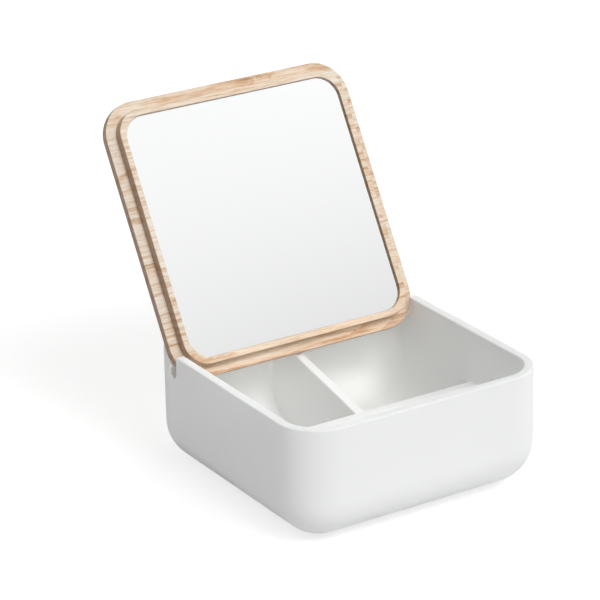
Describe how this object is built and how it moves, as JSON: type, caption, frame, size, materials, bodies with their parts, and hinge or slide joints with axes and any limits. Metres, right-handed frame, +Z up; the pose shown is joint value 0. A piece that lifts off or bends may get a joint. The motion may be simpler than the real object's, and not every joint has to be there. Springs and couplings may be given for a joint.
{
  "type": "vanity box with mirror lid",
  "caption": "Square white box with rounded corners and inner compartments; its wooden lid, with a mirror set in, stands in slots of the side walls and leans back.",
  "frame": {"origin": "on the table, in the middle of the whole outline from the front of the box to the top edge of the leaning lid; the middle of the box is 28.7 mm in front of it", "axes": "+X to the right as seen from the front, +Y to the rear, +Z up; the front of the box faces -Y"},
  "size_m": [0.18, 0.2376, 0.2155],
  "materials": {
    "white_shell": "satin",
    "light_wood": "satin",
    "mirror": "polished",
    "foam_tape": "matte",
    "foot_pad": "matte"
  },
  "bodies": {
    "box": {"box_shell": "white_shell", "foot_front_left": "foot_pad", "foot_front_right": "foot_pad", "foot_rear_left": "foot_pad", "foot_rear_right": "foot_pad"},
    "lid": {"lid_panel": "light_wood", "mirror_glass": "mirror", "tape_upper": "foam_tape", "tape_lower": "foam_tape"}
  },
  "joints": [
    {"name": "lid_lift", "type": "slide", "parent": "box", "child": "lid", "axis": [0, 0.5135, 0.8581], "range_m": [0, 0.04]}
  ]
}
